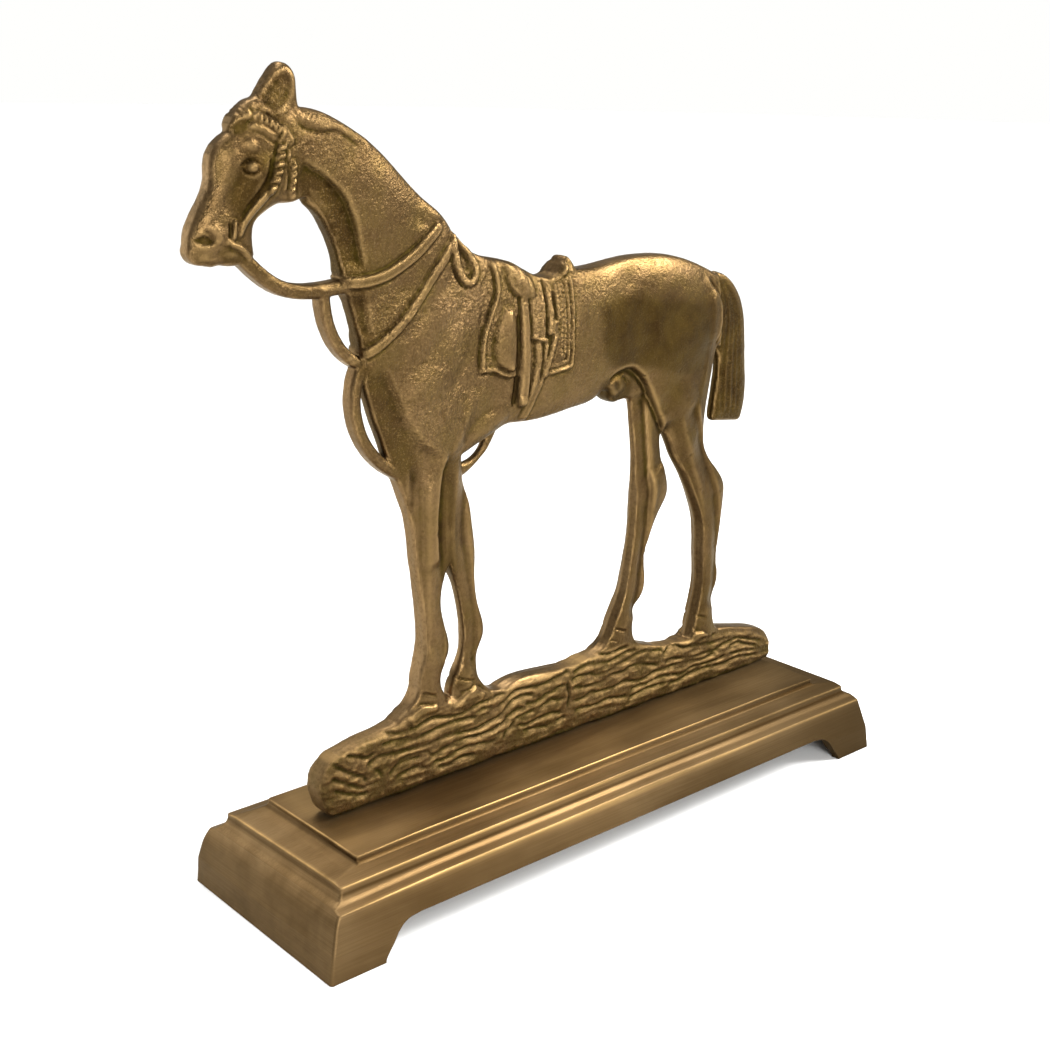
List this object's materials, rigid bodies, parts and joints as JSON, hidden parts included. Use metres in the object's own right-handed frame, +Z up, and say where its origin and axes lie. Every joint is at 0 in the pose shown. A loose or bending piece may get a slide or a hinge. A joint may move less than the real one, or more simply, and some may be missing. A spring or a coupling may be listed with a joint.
{
  "type": "bronze horse statuette",
  "caption": "Flat-cast antique bronze saddled racehorse on a rough ground strip, screwed to a stepped hollow rectangular plinth.",
  "frame": {"origin": "bottom centre of the whole statuette's box, on the surface the plinth stands on", "axes": "+Z up, X along the plinth with the horse's head towards -X, -Y the front face"},
  "size_m": [0.322, 0.0944, 0.3065],
  "materials": {
    "cast_bronze": "antiqued, sand-cast",
    "brushed_bronze": "antiqued, brushed",
    "fixing_steel": "zinc plated"
  },
  "bodies": {
    "root": {"plinth_casting": "brushed_bronze", "horse_casting": "cast_bronze", "front_mounting_screw": "fixing_steel", "rear_mounting_screw": "fixing_steel", "front_washer": "fixing_steel", "rear_washer": "fixing_steel"}
  },
  "joints": []
}
